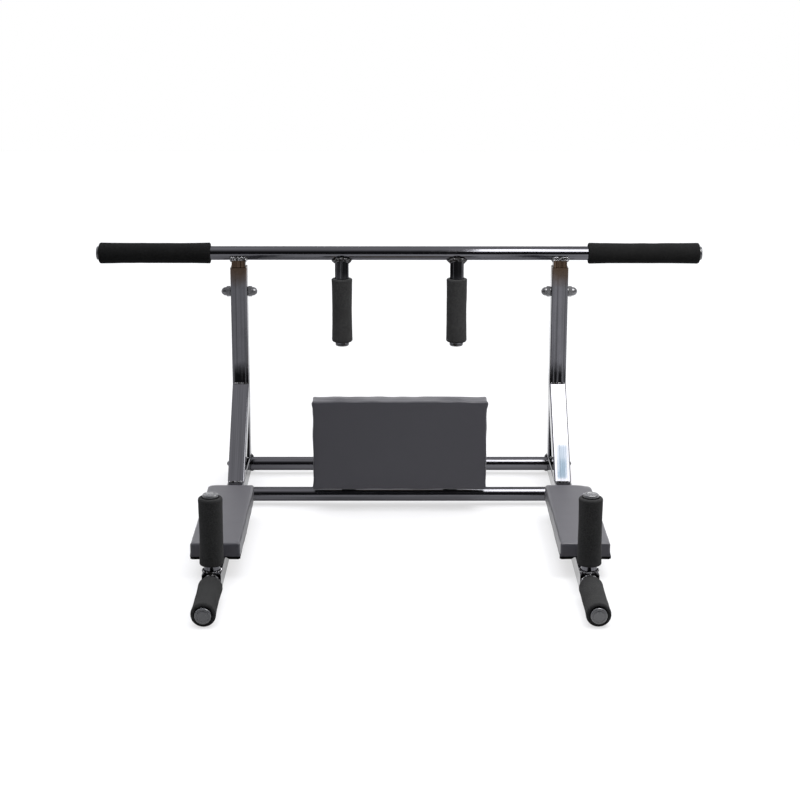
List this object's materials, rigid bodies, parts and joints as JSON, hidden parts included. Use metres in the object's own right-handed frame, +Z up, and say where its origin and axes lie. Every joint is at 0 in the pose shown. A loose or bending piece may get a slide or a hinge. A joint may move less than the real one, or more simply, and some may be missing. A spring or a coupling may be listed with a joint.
{
  "type": "dip station",
  "caption": "Low dip and knee-raise frame of chromed tube with forearm pads, upright and forward grips, a back pad and a pull-up bar on top.",
  "frame": {"origin": "on the floor, under the middle of the part's bounding box", "axes": "+X along the pull-up bar, to the right of someone facing the back pad; -Y along the arms towards the forward handles; +Z up the posts"},
  "size_m": [1.1016, 0.8012, 0.4383],
  "materials": {
    "dark_chrome": "dark mirror chrome on steel tube",
    "bolt_steel": "bright plated steel",
    "black_foam": "matt closed-cell foam",
    "grey_plug": "moulded, satin",
    "black_plug": "moulded, satin",
    "grey_vinyl": "fine-grained synthetic leather",
    "plywood": "raw plywood"
  },
  "bodies": {
    "root": {"arm_pad_board_left": "plywood", "arm_pad_board_right": "plywood", "arm_pad_bolt_left_front": "bolt_steel", "arm_pad_bolt_left_rear": "bolt_steel", "arm_pad_bolt_right_front": "bolt_steel", "arm_pad_bolt_right_rear": "bolt_steel", "arm_pad_left": "grey_vinyl", "arm_pad_right": "grey_vinyl", "arm_tube_left": "dark_chrome", "arm_tube_right": "dark_chrome", "back_pad": "grey_vinyl", "back_pad_board": "plywood", "back_pad_bolt_left": "bolt_steel", "back_pad_bolt_right": "bolt_steel", "bar_grip_left_foam": "black_foam", "bar_grip_left_plug": "grey_plug", "bar_grip_right_foam": "black_foam", "bar_grip_right_plug": "grey_plug", "bar_stub_left": "dark_chrome", "bar_stub_right": "dark_chrome", "brace_left": "dark_chrome", "brace_right": "dark_chrome", "foot_plug_left": "black_plug", "foot_plug_right": "black_plug", "forward_grip_left_foam": "black_foam", "forward_grip_left_plug": "grey_plug", "forward_grip_right_foam": "black_foam", "forward_grip_right_plug": "grey_plug", "forward_handle_left": "dark_chrome", "forward_handle_right": "dark_chrome", "front_cross_tube": "dark_chrome", "front_tie_bolt_left": "bolt_steel", "front_tie_bolt_right": "bolt_steel", "hanging_grip_left_foam": "black_foam", "hanging_grip_left_plug": "grey_plug", "hanging_grip_right_foam": "black_foam", "hanging_grip_right_plug": "grey_plug", "hanging_handle_left": "dark_chrome", "hanging_handle_right": "dark_chrome", "pad_upright_left": "dark_chrome", "pad_upright_right": "dark_chrome", "post_left": "dark_chrome", "post_nut_left_inner": "bolt_steel", "post_nut_left_outer": "bolt_steel", "post_nut_right_inner": "bolt_steel", "post_nut_right_outer": "bolt_steel", "post_right": "dark_chrome", "post_rod_left": "bolt_steel", "post_rod_right": "bolt_steel", "pull_up_bar": "dark_chrome", "rear_cross_tube": "dark_chrome", "rear_tie_bolt_left": "bolt_steel", "rear_tie_bolt_right": "bolt_steel", "upright_grip_left_foam": "black_foam", "upright_grip_left_plug": "grey_plug", "upright_grip_right_foam": "black_foam", "upright_grip_right_plug": "grey_plug", "upright_handle_left": "dark_chrome", "upright_handle_right": "dark_chrome"}
  },
  "joints": []
}
